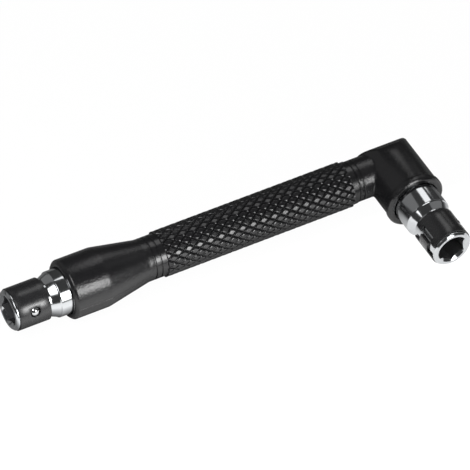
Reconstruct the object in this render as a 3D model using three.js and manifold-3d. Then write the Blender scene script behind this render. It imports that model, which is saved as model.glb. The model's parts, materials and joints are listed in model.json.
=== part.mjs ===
// L-shaped bit driver: a knurled handle with a hex bit socket at its front end
// and a second bit socket on the short arm of its elbow.
// Millimetres, +Z up. The tool lies on its side: the handle runs along +X from the
// front mouth to the elbow, the short arm points along -Y, and the origin is under
// the middle of the tool, on the surface that it lies on.

import * as THREE from 'three';
import { mergeVertices } from 'three/addons/utils/BufferGeometryUtils.js';
import Module from 'manifold-3d';

const wasm = await Module();
wasm.setup();

// Hex mouth, for bits that measure 6.35 mm across flats
const hexFlats = 6.4;
const hexDepth = 14;
const leadInRadius = 3.9;

// Bit socket, one turned part, the same at both ends up to its collar
const lipRadius = 4.95;
const lipLength = 0.8;
const lipChamfer = 0.4;
const grooveRadius = 4.65;
const footLength = 0.5;
const shoulderLength = 1.8;
const collarRadius = 5.65;
const collarChamfer = 0.25;
const collarSeat = 2.7;
const frontCollarShow = 3;
const elbowCollarShow = 5.8;
const tailFlats = 9;
const frontTailLength = 10;

// Spring clip, with a tongue and notch at its split
const clipLength = 8;
const clipThickness = 0.5;
const clipHoleRadius = 1.3;
const tongueWidth = 3.5;
const tongueSideGap = 0.35;
// Angles round the clip, counted from its hole
const notchAngle = THREE.MathUtils.degToRad(108);
const earAngle = THREE.MathUtils.degToRad(125);
const tongueAngle = THREE.MathUtils.degToRad(131);
const shoulderAngle = THREE.MathUtils.degToRad(163);

// Retaining ball, which shows through the clip's hole at one corner of the hex
const ballRadius = 1.4;
const frontBallTurn = THREE.MathUtils.degToRad(22);
const elbowBallTurn = THREE.MathUtils.degToRad(32);

// Handle: nose, cone, knurled grip and neck, along +X
const noseRadius = 7.35;
const noseLength = 9.5;
const noseChamfer = 0.7;
const coneLength = 11.3;
const bandRadius = 5.25;
const noseBandLength = 1.4;
const frontBandLength = 2.95;
const gripLength = 50;
const gripRadius = 5.62;
const rearBandLength = 1.5;
const neckRadius = 5.1;
const neckLength = 10.7;
const ringWidth = 0.3;
const ringDepth = 0.25;
const frontRingOffset = 1.2;
const neckRingOffset = 0.95;

// Knurl: flat-topped diamonds between crossed grooves
const knurlStarts = 15;
const knurlPitch = 2.8;
const knurlDepth = 0.4;
const diamondTop = 0.58;

// Elbow and short arm
const armRadius = 7.15;
const armLength = 12.6;
const rimRadius = 7.45;
const rimLength = 1.5;
const rimChamfer = 0.5;
const rimBlend = 0.3;
const elbowBack = 5.15;

// Steel core between the tails of the two sockets
const rodFlats = 4;
const rodSeat = 8;
const stubRadius = 4;
const stubWall = 1.2;
const stubShoulder = 1.6;

// Clearances
const clipSlack = 0.1;
const clipFit = 0.05;
const ballFit = 0.05;
const steelFit = 0.1;
const mouldFit = 0.15;
const seamGap = ringWidth;

// How finely round shapes are faceted
const roundSides = 48;
const ballSides = 20;
// How far a cutting shape reaches past what it cuts
const overshoot = 1;
// Vertices closer than this are one vertex
const weldDistance = 1e-5;

// Stations along a socket's own axis, from its mouth
const cornerOf = (flats) => flats / Math.sqrt(3);
const clipStart = lipLength + clipSlack;
const clipEnd = clipStart + clipLength;
const ballStation = clipStart + clipLength / 2;
const footEnd = clipEnd + clipSlack + footLength;
const shoulderEnd = footEnd + shoulderLength;
const frontFace = shoulderEnd + frontCollarShow;
const elbowFace = shoulderEnd + elbowCollarShow;

// Stations along the handle, from the front mouth
const noseEnd = frontFace + noseLength;
const coneEnd = noseEnd + coneLength;
const noseBack = coneEnd + noseBandLength;
const gripFront = noseBack + seamGap;
const knurlStart = gripFront + frontBandLength;
const knurlEnd = knurlStart + gripLength;
const gripBack = knurlEnd + rearBandLength;
const neckFront = gripBack + seamGap;
const armStation = neckFront + neckLength;
const armReach = armLength + elbowFace;

// Radii that follow from the fits
const clipInner = grooveRadius + clipFit;
const clipOuter = clipInner + clipThickness;
const holeEdge = Math.sqrt(clipInner ** 2 - clipHoleRadius ** 2);
const ballCentre = holeEdge - Math.sqrt(ballRadius ** 2 - clipHoleRadius ** 2) - ballFit;
const rodBore = cornerOf(rodFlats) + mouldFit;
const collarPocket = collarRadius + mouldFit;
const elbowTailLength = armLength - collarSeat - rodFlats / 2 - stubShoulder;
const stubEnd = rodFlats / 2 + stubWall;

// Materials
const chromeSteel = new THREE.MeshStandardMaterial({ color: 0xd4d6d8, roughness: 0.12, metalness: 1 });
const ballSteel = new THREE.MeshStandardMaterial({ color: 0xc9cbcd, roughness: 0.1, metalness: 1 });
const springSteel = new THREE.MeshStandardMaterial({ color: 0x242425, roughness: 0.35, metalness: 0.8 });
const coreSteel = new THREE.MeshStandardMaterial({ color: 0x8d8f90, roughness: 0.4, metalness: 1 });
const blackPlastic = new THREE.MeshStandardMaterial({ color: 0x1e1e1f, roughness: 0.38, metalness: 0 });

// A closed geometry as a solid: shared vertices merged, empty triangles dropped, faces turned outwards
function solid(geometry) {
  const bare = geometry.clone();
  bare.deleteAttribute('normal');
  bare.deleteAttribute('uv');
  const merged = mergeVertices(bare, weldDistance);
  const points = merged.attributes.position.array;
  const triangles = [];
  let volume = 0;
  for (let i = 0; i < merged.index.count; i += 3) {
    const [a, b, c] = merged.index.array.slice(i, i + 3);
    if (a === b || b === c || c === a) continue;
    triangles.push(a, b, c);
    const corners = [a, b, c].map((vertex) => new THREE.Vector3().fromArray(points, 3 * vertex));
    volume += corners[0].dot(corners[1].cross(corners[2]));
  }
  if (volume < 0) triangles.reverse();
  return new wasm.Manifold(new wasm.Mesh({
    numProp: 3,
    vertProperties: Float32Array.from(points),
    triVerts: Uint32Array.from(triangles),
  }));
}

// A finished solid as a named mesh
function piece(name, body, material) {
  const { vertProperties, triVerts } = body.getMesh();
  const geometry = new THREE.BufferGeometry();
  geometry.setAttribute('position', new THREE.BufferAttribute(vertProperties, 3));
  geometry.setIndex(new THREE.BufferAttribute(triVerts, 1));
  geometry.computeVertexNormals();
  const mesh = new THREE.Mesh(geometry, material);
  mesh.name = name;
  return mesh;
}

// Round body about +Y, from pairs of radius and station
function turned(profile, sides = roundSides) {
  return new THREE.LatheGeometry(profile.map(([r, y]) => new THREE.Vector2(r, y)), sides);
}

// Round rod about +Y between two stations
const rod = (radius, from, to) => turned([[0, from], [radius, from], [radius, to], [0, to]]);

// Hex bar about +Y between two stations, with a corner towards +X
function hexBar(flats, from, to) {
  const corner = cornerOf(flats);
  const bar = new THREE.CylinderGeometry(corner, corner, to - from, 6);
  return bar.rotateY(Math.PI / 6).translate(0, (from + to) / 2, 0);
}

// Core rod, or a hole for it, with a flat towards +X
const rodBar = (flats, from, to) => hexBar(flats, from, to).rotateY(Math.PI / 6);

// Turns a shape about +Y into a shape about +X
const alongHandle = (geometry) => geometry.rotateZ(-Math.PI / 2);

// Slice of a round piece about +Y, between two angles counted from +X towards +Z
function slice(fromAngle, toAngle, from, to) {
  const reach = clipOuter + overshoot;
  const outline = new THREE.Shape();
  outline.moveTo(0, 0);
  outline.absarc(0, 0, reach, fromAngle, toAngle, false);
  outline.closePath();
  const wedge = new THREE.ExtrudeGeometry(outline, {
    depth: to - from,
    bevelEnabled: false,
    curveSegments: roundSides / 6,
  });
  return wedge.rotateX(Math.PI / 2).translate(0, to, 0);
}

// Bit socket about +Y, its mouth at 0 and its ball hole turned up from +X
function bitSocket(face, tailEnd, ballTurn) {
  const collarEnd = face + collarSeat;
  const body = solid(turned([
    [0, 0],
    [lipRadius - lipChamfer, 0],
    [lipRadius, lipChamfer],
    [lipRadius, lipLength],
    [grooveRadius, lipLength],
    [grooveRadius, footEnd],
    [collarRadius - collarChamfer, shoulderEnd],
    [collarRadius, shoulderEnd + collarChamfer],
    [collarRadius, collarEnd],
    [0, collarEnd],
  ]));
  const tail = solid(hexBar(tailFlats, collarEnd - overshoot, tailEnd));
  const bore = solid(hexBar(hexFlats, -overshoot, hexDepth).rotateY(-ballTurn));
  const leadIn = solid(turned([[0, -overshoot], [leadInRadius + overshoot, -overshoot], [0, leadInRadius]]));
  return body.add(tail).subtract(bore).subtract(leadIn).subtract(solid(ballHole(ballTurn)));
}

// Hole that the ball runs in: a round seat under it and a straight way outwards
function ballHole(ballTurn) {
  const radius = ballRadius + ballFit;
  const seat = new THREE.Path().absarc(0, 0, radius, -Math.PI / 2, 0, false).getPoints(ballSides / 4);
  const outline = [...seat.map(({ x, y }) => [x, y]), [radius, collarRadius], [0, collarRadius]];
  outline[0][0] = 0;
  return turned(outline, ballSides).rotateZ(-Math.PI / 2).translate(ballCentre, ballStation, 0).rotateY(-ballTurn);
}

// Spring clip about +Y; side is +1 or -1, for the side of the hole that its split is on
function springClip(ballTurn, side) {
  const ring = solid(turned([
    [clipInner, clipStart],
    [clipOuter, clipStart],
    [clipOuter, clipEnd],
    [clipInner, clipEnd],
    [clipInner, clipStart],
  ]));
  const tongueFrom = ballStation - tongueWidth / 2;
  const tongueTo = ballStation + tongueWidth / 2;
  const notchFrom = tongueFrom - tongueSideGap;
  const notchTo = tongueTo + tongueSideGap;
  const cuts = [
    [earAngle, shoulderAngle, clipStart - overshoot, notchFrom],
    [notchAngle, shoulderAngle, notchFrom, tongueFrom],
    [notchAngle, tongueAngle, tongueFrom, tongueTo],
    [notchAngle, shoulderAngle, tongueTo, notchTo],
    [earAngle, shoulderAngle, notchTo, clipEnd + overshoot],
  ];
  let clip = ring;
  for (const [first, last, from, to] of cuts) {
    const angles = [first * side, last * side].sort((a, b) => a - b);
    clip = clip.subtract(solid(slice(...angles, from, to).rotateY(-ballTurn)));
  }
  const hole = rod(clipHoleRadius, 0, clipOuter + overshoot).rotateZ(-Math.PI / 2);
  return clip.subtract(solid(hole.translate(0, ballStation, 0).rotateY(-ballTurn)));
}

// The socket, clip and ball of one end, about +Y with the mouth at 0
function bitEnd(name, socket, ballTurn, side) {
  const end = new THREE.Group();
  const ball = solid(new THREE.SphereGeometry(ballRadius, ballSides, ballSides / 2));
  const ballMesh = piece(`${name}_ball`, ball, ballSteel);
  const outward = new THREE.Vector3(Math.cos(ballTurn), 0, Math.sin(ballTurn));
  ballMesh.position.copy(outward).multiplyScalar(ballCentre).setY(ballStation);
  end.add(piece(`${name}_socket`, socket, chromeSteel));
  end.add(piece(`${name}_clip`, springClip(ballTurn, side), springSteel));
  end.add(ballMesh);
  return end;
}

// Front socket, with a hex seat for the core rod in its tail
function frontSocket() {
  const tailEnd = frontFace + collarSeat + frontTailLength;
  const seat = rodBar(rodFlats + 2 * steelFit, tailEnd - rodSeat, tailEnd + overshoot);
  return bitSocket(frontFace, tailEnd, frontBallTurn).subtract(solid(seat));
}

// Elbow socket, with a round stub on its tail and a cross hole for the core rod
function elbowSocket() {
  const tailEnd = elbowFace + collarSeat + elbowTailLength;
  const stub = rod(stubRadius, tailEnd - overshoot, armReach + stubEnd);
  const reach = stubRadius + overshoot;
  const crossHole = alongHandle(rodBar(rodFlats + 2 * steelFit, -reach, reach));
  return bitSocket(elbowFace, tailEnd, elbowBallTurn)
    .add(solid(stub))
    .subtract(solid(crossHole.translate(0, armReach, 0)));
}

// Moulded nose with its pockets for the socket's collar and tail
function noseCone() {
  const collarEnd = frontFace + collarSeat + mouldFit;
  const tailEnd = frontFace + collarSeat + frontTailLength + mouldFit;
  const outside = solid(turned([
    [0, frontFace],
    [noseRadius - noseChamfer, frontFace],
    [noseRadius, frontFace + noseChamfer],
    [noseRadius, noseEnd],
    [bandRadius, coneEnd],
    [bandRadius, noseBack],
    [0, noseBack],
  ]));
  return outside
    .subtract(solid(rod(collarPocket, frontFace - overshoot, collarEnd)))
    .subtract(solid(hexBar(tailFlats + 2 * mouldFit, frontFace, tailEnd)))
    .subtract(solid(rod(rodBore, frontFace, noseBack + overshoot)));
}

// Knurled bar about +Y: even grid points are diamonds, odd ones are where grooves cross
function knurledBar() {
  const rows = Math.max(2, Math.round((2 * gripLength) / knurlPitch));
  const columns = 2 * knurlStarts;
  const rowStep = gripLength / rows;
  const rootRadius = gripRadius - knurlDepth;
  const positions = [];
  const triangles = [];
  const crossings = new Map();
  const vertex = (radius, column, row) => {
    const angle = (2 * Math.PI * column) / columns;
    positions.push(radius * Math.cos(angle), knurlStart + row * rowStep, radius * Math.sin(angle));
    return positions.length / 3 - 1;
  };
  const crossing = (column, row) => {
    const around = (column + columns) % columns;
    const key = row * columns + around;
    if (!crossings.has(key)) crossings.set(key, vertex(rootRadius, around, row));
    return crossings.get(key);
  };
  const quad = (a, b, c, d) => triangles.push(a, b, c, a, c, d);
  for (let row = 0; row <= rows; row += 1) {
    for (let column = row % 2; column < columns; column += 2) {
      const left = crossing(column - 1, row);
      const right = crossing(column + 1, row);
      if (row === 0) {
        triangles.push(left, crossing(column, 1), right);
        continue;
      }
      if (row === rows) {
        triangles.push(left, right, crossing(column, rows - 1));
        continue;
      }
      const below = crossing(column, row - 1);
      const above = crossing(column, row + 1);
      const topLeft = vertex(gripRadius, column - diamondTop, row);
      const topRight = vertex(gripRadius, column + diamondTop, row);
      const topBelow = vertex(gripRadius, column, row - diamondTop);
      const topAbove = vertex(gripRadius, column, row + diamondTop);
      quad(topBelow, topLeft, topAbove, topRight);
      quad(left, above, topAbove, topLeft);
      quad(above, right, topRight, topAbove);
      quad(right, below, topBelow, topRight);
      quad(below, left, topLeft, topBelow);
    }
  }
  for (const row of [0, rows]) {
    const middle = vertex(0, 0, row);
    for (let column = (row + 1) % 2; column < columns; column += 2) {
      const rim = [crossing(column, row), crossing(column + 2, row)];
      if (row === rows) rim.reverse();
      triangles.push(middle, ...rim);
    }
  }
  const geometry = new THREE.BufferGeometry();
  geometry.setAttribute('position', new THREE.Float32BufferAttribute(positions, 3));
  return geometry.setIndex(triangles);
}

// Knurled grip between its plain bands, with a ring groove in the front one
function gripSleeve() {
  const coreRadius = gripRadius - knurlDepth - ringDepth;
  const ringFrom = gripFront + frontRingOffset;
  const bands = solid(turned([
    [0, gripFront],
    [bandRadius, gripFront],
    [bandRadius, ringFrom],
    [bandRadius - ringDepth, ringFrom],
    [bandRadius - ringDepth, ringFrom + ringWidth],
    [bandRadius, ringFrom + ringWidth],
    [bandRadius, knurlStart],
    [coreRadius, knurlStart],
    [coreRadius, knurlEnd],
    [bandRadius, knurlEnd],
    [bandRadius, gripBack],
    [0, gripBack],
  ]));
  const bore = solid(rod(rodBore, gripFront - overshoot, gripBack + overshoot));
  return bands.add(solid(knurledBar())).subtract(bore);
}

// Outline that rounds off the back of the elbow, seen along the handle
function elbowOutline() {
  const middle = elbowBack - armRadius;
  const side = rimRadius + overshoot;
  const front = -armLength - overshoot;
  const outline = new THREE.Shape();
  outline.moveTo(front, -side);
  outline.lineTo(middle, -side);
  outline.absarc(middle, 0, armRadius, -Math.PI / 2, Math.PI / 2, false);
  outline.lineTo(middle, side);
  outline.lineTo(front, side);
  outline.closePath();
  return outline;
}

// Moulded neck, elbow and short arm, with the arm's axis at x = 0
function elbowHousing() {
  const front = neckFront - armStation;
  const ringFrom = front + neckRingOffset;
  const arm = solid(turned([
    [0, -armLength],
    [rimRadius - rimChamfer, -armLength],
    [rimRadius, rimChamfer - armLength],
    [rimRadius, rimLength - armLength],
    [armRadius, rimLength + rimBlend - armLength],
    [armRadius, armRadius],
    [0, armRadius],
  ]));
  const width = 2 * (rimRadius + overshoot);
  const rounding = new THREE.ExtrudeGeometry(elbowOutline(), {
    depth: width,
    bevelEnabled: false,
    curveSegments: roundSides / 2,
  });
  // The outline's own axes become Y and Z, and its depth runs along X
  rounding.translate(0, 0, -width / 2).rotateY(Math.PI / 2).rotateX(Math.PI / 2);
  const neck = alongHandle(turned([
    [0, front],
    [neckRadius, front],
    [neckRadius, ringFrom],
    [neckRadius - ringDepth, ringFrom],
    [neckRadius - ringDepth, ringFrom + ringWidth],
    [neckRadius, ringFrom + ringWidth],
    [neckRadius, 0],
    [0, 0],
  ]));
  const collarEnd = collarSeat + mouldFit - armLength;
  const tailEnd = collarSeat + elbowTailLength + mouldFit - armLength;
  return arm
    .intersect(solid(rounding))
    .add(solid(neck))
    .subtract(solid(rod(collarPocket, -armLength - overshoot, collarEnd)))
    .subtract(solid(hexBar(tailFlats + 2 * mouldFit, -armLength, tailEnd)))
    .subtract(solid(rod(stubRadius + mouldFit, -armLength, stubEnd + mouldFit)))
    .subtract(solid(alongHandle(rod(rodBore, front - overshoot, 0))));
}

// Steel hex rod from the front socket's tail to the stub in the elbow
function coreRod() {
  const start = frontFace + collarSeat + frontTailLength - rodSeat + steelFit;
  const end = armStation + Math.sqrt(stubRadius ** 2 - cornerOf(rodFlats) ** 2) - steelFit;
  return rodBar(rodFlats, start, end);
}

// Assembly: the handle's axis is the X axis of this group
const tool = new THREE.Group();

// The handle's turned pieces are made about +Y and laid along +X
const handle = new THREE.Group();
handle.rotation.z = -Math.PI / 2;
handle.add(bitEnd('front', frontSocket(), frontBallTurn, -1));
handle.add(piece('nose_cone', noseCone(), blackPlastic));
handle.add(piece('grip_sleeve', gripSleeve(), blackPlastic));
handle.add(piece('core_rod', solid(coreRod()), coreSteel));
tool.add(handle);

const elbow = new THREE.Group();
elbow.position.x = armStation;
elbow.add(piece('elbow_housing', elbowHousing(), blackPlastic));
const shortArm = bitEnd('elbow', elbowSocket(), elbowBallTurn, 1);
shortArm.position.y = -armReach;
elbow.add(shortArm);
tool.add(elbow);

// The tool lies on the rim of its short arm, with the origin under its middle
const farEnd = armStation + rimRadius;
tool.position.set(-farEnd / 2, (armReach - noseRadius) / 2, Math.max(rimRadius, noseRadius));

export default tool;
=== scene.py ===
"""L-shaped bit driver.

Models the finished pieces of the driver around its fixed frame: two chromed bit sockets with their
spring clips and balls, the moulded nose, the knurled grip, the elbow and a small studio.
"""

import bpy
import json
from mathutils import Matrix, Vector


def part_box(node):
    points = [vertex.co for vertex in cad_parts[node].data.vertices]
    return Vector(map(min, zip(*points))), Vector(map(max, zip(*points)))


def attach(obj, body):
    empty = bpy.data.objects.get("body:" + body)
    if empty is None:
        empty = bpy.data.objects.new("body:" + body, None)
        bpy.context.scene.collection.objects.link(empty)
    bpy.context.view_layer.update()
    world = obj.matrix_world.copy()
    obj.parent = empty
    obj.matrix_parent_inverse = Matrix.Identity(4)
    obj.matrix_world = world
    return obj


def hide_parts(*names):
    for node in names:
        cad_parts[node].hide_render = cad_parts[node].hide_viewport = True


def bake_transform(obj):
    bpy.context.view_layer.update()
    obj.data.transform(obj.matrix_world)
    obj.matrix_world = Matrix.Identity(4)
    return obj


bl_info = {
    "name": "L-shaped bit driver",
    "version": (1, 0, 0),
    "blender": (4, 5, 0),
    "location": "View3D > Sidebar > Bit driver",
    "description": "Models the finished pieces of an L-shaped bit driver around its frame",
    "category": "Object",
}

import json
import math

import bmesh
import bpy
from bpy.props import FloatProperty, FloatVectorProperty, IntProperty, PointerProperty
from bpy.types import Operator, Panel, PropertyGroup
from mathutils import Matrix, Vector

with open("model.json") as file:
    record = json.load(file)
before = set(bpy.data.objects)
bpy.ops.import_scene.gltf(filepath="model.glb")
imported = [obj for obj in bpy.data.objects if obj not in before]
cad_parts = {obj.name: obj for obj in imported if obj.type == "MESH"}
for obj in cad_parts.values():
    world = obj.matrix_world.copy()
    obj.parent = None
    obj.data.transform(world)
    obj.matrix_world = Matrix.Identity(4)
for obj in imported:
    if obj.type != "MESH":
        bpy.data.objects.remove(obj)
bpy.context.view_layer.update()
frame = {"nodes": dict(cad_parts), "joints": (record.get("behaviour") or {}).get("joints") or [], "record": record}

MM = 0.001
FULL_TURN = 2 * math.pi
# From one corner of a hexagon to the next
HEX_TURN = math.pi / 3
# Points closer than this are one point
WELD = 0.002 * MM
# Faces that meet at more than this keep a crisp edge between them
CRISP_ANGLE = math.radians(40)
# Sides of a round piece: one every two degrees, so the ball's turn and a hex corner fall on a side
ROUND_STEPS = 180
# Faces across a rounding, across a finer one, and across the elbow's outer corner
ROUNDING_STEPS = 3
FINE_STEPS = 2
CORNER_STEPS = 5
# Sides of a ball, and of the hole that it runs in
BALL_SIDES = 64
HOLE_SIDES = 48
# Where the rows of faces across a clip's tongue end, as shares of half its width
TONGUE_ROWS = (1, 0.6, 0.2)
# The neck's flare turns through this much before it sinks into the arm
FLARE_ARC = math.radians(80)
FLARE_STEPS = 5
# How far a cutting shape reaches past what it cuts
PAST = 1 * MM


def length(name, millimetres, description):
    """A size in the sidebar, written in millimetres and held in metres."""
    return FloatProperty(name=name, description=description, default=millimetres * MM,
                         subtype='DISTANCE', unit='LENGTH', precision=5)


def turn_angle(name, degrees, description):
    """An angle in the sidebar, written in degrees."""
    return FloatProperty(name=name, description=description, default=math.radians(degrees),
                         subtype='ANGLE', unit='ROTATION')


def angle_pair(name, degrees, description):
    """Two angles in the sidebar, written in degrees."""
    return FloatVectorProperty(name=name, description=description, size=2, unit='ROTATION',
                               default=[math.radians(angle) for angle in degrees])


def linear(hex_colour):
    """A colour written as sRGB hex, as linear red, green and blue."""
    channels = [int(hex_colour[place:place + 2], 16) / 255 for place in (1, 3, 5)]
    return [c / 12.92 if c <= 0.04045 else ((c + 0.055) / 1.055) ** 2.4 for c in channels]


def colour(name, hex_colour, description):
    """A colour in the sidebar, written as sRGB hex."""
    return FloatVectorProperty(name=name, description=description, default=linear(hex_colour),
                               subtype='COLOR', size=3, min=0, max=1)


def strength(name, value, description):
    """A plain number in the sidebar, such as a roughness or a light's brightness."""
    return FloatProperty(name=name, description=description, default=value, min=0)


class SocketSizes(PropertyGroup):
    """Sizes of the two bit sockets, with stations counted from the mouth."""

    hex_flats: length("Hex flats", 6.4, "Width of the hex hole across its flats")
    hex_depth: length("Hex depth", 14, "Depth of the hex hole")
    lead_in_radius: length("Lead-in radius", 3.9, "Radius of the cone at the mouth")
    lip_radius: length("Lip radius", 4.95, "Radius of the lip in front of the clip")
    lip_length: length("Lip length", 0.8, "Length of the lip")
    lip_chamfer: length("Lip chamfer", 0.45, "Chamfer of the lip")
    groove_radius: length("Groove radius", 4.65, "Radius under the clip")
    foot_station: length("Foot", 9.5, "Where the shoulder starts")
    shoulder_station: length("Shoulder", 11.3, "Where the shoulder reaches the collar")
    collar_radius: length("Collar radius", 5.65, "Radius of the collar")
    collar_chamfer: length("Collar chamfer", 0.25, "Chamfer between the shoulder and the collar")
    collar_seat: length("Collar seat", 2.7, "How far the collar goes into the moulding")
    tail_flats: length("Tail flats", 9, "Width of the hidden hex tail across its flats")
    elbow_tail: length("Elbow tail", 6.3, "Length of the elbow socket's hex tail")
    stub_radius: length("Stub radius", 4, "Radius of the round stub on the elbow socket's tail")
    rod_flats: length("Rod hole flats", 4.2, "Width of the holes that the core rod sits in")
    rod_seat: length("Rod seat", 8, "Depth of the core rod's seat in the front socket")
    rounding: length("Edge rounding", 0.08, "Rounding of the turned edges")


class ClipSizes(PropertyGroup):
    """Sizes of the two spring clips and balls, with angles counted from the clip's hole."""

    inner_radius: length("Inner radius", 4.7, "Inside radius of the clip")
    thickness: length("Thickness", 0.5, "Thickness of the spring strip")
    clip_length: length("Length", 8, "Length of the clip along the socket")
    station: length("Station", 4.9, "Where the middle of the clip is, from the mouth")
    hole_radius: length("Hole radius", 1.3, "Radius of the hole that the ball shows through")
    tongue_width: length("Tongue width", 3.5, "Width of the tongue at the split")
    tongue_gap: length("Tongue gap", 0.35, "Gap beside the tongue in its notch")
    notch: turn_angle("Notch", 108, "Where the bottom of the notch is")
    ear: turn_angle("Ears", 126, "Where the ears beside the notch end")
    tongue: turn_angle("Tongue", 132, "Where the tongue's tip is")
    shoulder: turn_angle("Shoulder", 162, "Where the tongue starts")
    column: turn_angle("Column", 3, "Width of one strip of faces")
    rounding: length("Edge rounding", 0.07, "Rounding of the strip's edges")
    ball_radius: length("Ball radius", 1.4, "Radius of the retaining ball")
    ball_fit: length("Ball fit", 0.05, "Room around the ball in its hole")


class NoseSizes(PropertyGroup):
    """Sizes of the moulded nose, with stations counted from its front face."""

    radius: length("Radius", 7.35, "Radius of the nose")
    cylinder: length("Cylinder", 9.5, "Length of the straight part")
    cone: length("Cone", 11.3, "Length of the cone")
    chamfer: length("Chamfer", 0.7, "Chamfer around the front face")
    rounding: length("Edge rounding", 0.2, "Rounding of the moulded edges")
    shoulder_rounding: length("Shoulder rounding", 0.35, "Rounding where the cone starts")


class GripSizes(PropertyGroup):
    """Sizes of the knurled grip and its plain bands."""

    band_radius: length("Band radius", 5.25, "Radius of the plain bands")
    front_band: length("Front band", 2.95, "Length of the front band")
    rear_band: length("Rear band", 1.5, "Length of the rear band")
    radius: length("Radius", 5.62, "Radius over the diamonds")
    depth: length("Knurl depth", 0.36, "Depth of the grooves between the diamonds")
    pitch: length("Knurl pitch", 2.86, "Spacing of the diamonds along the grip")
    starts: IntProperty(name="Starts", description="Diamonds around the grip", default=17)
    knurl_turn: turn_angle("Knurl turn", 3.2, "How far the knurl is turned about the grip")
    groove: length("Groove", 0.3, "Half the width of a groove at its top")
    top_rounding: length("Diamond rounding", 0.2, "Rounding around a diamond's top")
    corner_cut: length("Corner cut", 0.28, "How far a diamond's corners are cut back")
    edge: length("Band edge", 0.08, "Chamfer at the ends of the bands")
    front_ring: length("Front ring", 1.2, "From the front end to the ring groove in its band")


class ElbowSizes(PropertyGroup):
    """Sizes of the moulded elbow, counted from where the arm's axis crosses the handle's."""

    arm_radius: length("Arm radius", 7.15, "Radius of the short arm")
    arm_length: length("Arm length", 12.6, "From the handle's axis to the open end")
    rim_radius: length("Rim radius", 7.45, "Radius of the bead around the open end")
    rim_length: length("Rim length", 1.5, "Length of the bead")
    rim_chamfer: length("Rim chamfer", 0.5, "Chamfer of the bead")
    rim_blend: length("Rim blend", 0.3, "Length of the step from the bead to the arm")
    back: length("Back", 5.15, "From the handle's axis to the back of the elbow")
    neck_radius: length("Neck radius", 5.1, "Radius of the neck")
    neck_edge: length("Neck edge", 0.08, "Chamfer at the neck's front end")
    neck_ring: length("Neck ring", 0.95, "From the neck's front end to its ring groove")
    corner_rounding: length("Corner rounding", 0.7, "Rounding of the elbow's outer corner")
    saddle_rounding: length("Saddle rounding", 0.35, "Fillet where the neck meets the arm")
    neck_sink: length("Neck sink", 1, "How far the neck reaches into the arm's wall")
    flare_end: length("Flare end", 3.5, "How far behind the handle's axis the fillet has faded out")
    flare_fade: length("Flare fade", 2.5, "Width over which the fillet fades")
    rounding: length("Edge rounding", 0.15, "Rounding of the moulded edges")


class MouldingSizes(PropertyGroup):
    """Sizes that the three mouldings share."""

    fit: length("Fit", 0.15, "Room around the steel in a moulding")
    rod_bore: length("Rod bore", 2.46, "Radius of the bore for the core rod")
    ring_width: length("Ring width", 0.3, "Width of a ring groove")
    ring_depth: length("Ring depth", 0.25, "Depth of a ring groove")
    seam_play: length("Seam play", 0.02, "Room between a spigot and the grip")
    parting: length("Parting line", 0.05, "Height of the mould's parting line")
    parting_width: length("Parting width", 0.14, "Width of the mould's parting line")


class FinishLooks(PropertyGroup):
    """Colours and grains of the finishes."""

    chrome: colour("Chrome", "#c3c5c7", "Colour of the chrome plating")
    # The bore's colour is darkened with painted shade for the deep hole
    bore: colour("Bore", "#88888a", "Colour of the unplated hex hole")
    oxide: colour("Black oxide", "#171718", "Colour of the blackened spring steel")
    ball: colour("Ball", "#c6c7c8", "Colour of the polished balls")
    plastic: colour("Plastic", "#0e0e0f", "Colour of the black plastic")
    plastic_worn: colour("Plastic, lighter", "#141415", "Colour of its lighter flow marks")
    moulded_grain: length("Moulded grain", 0.07, "Depth of the grain of the nose and the elbow")
    knurled_grain: length("Knurled grain", 0.012, "Depth of the grain of the grip")
    rod: colour("Rod", "#8d8f90", "Colour of the drawn core rod")
    sheet: colour("Sheet", "#e6e6e6", "Colour of the white sheet under the tool")
    # Painted shade: the grey floor around the sheet stands for light falling off beyond it
    table: colour("Table", "#626262", "Colour of the table around the sheet")


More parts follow.
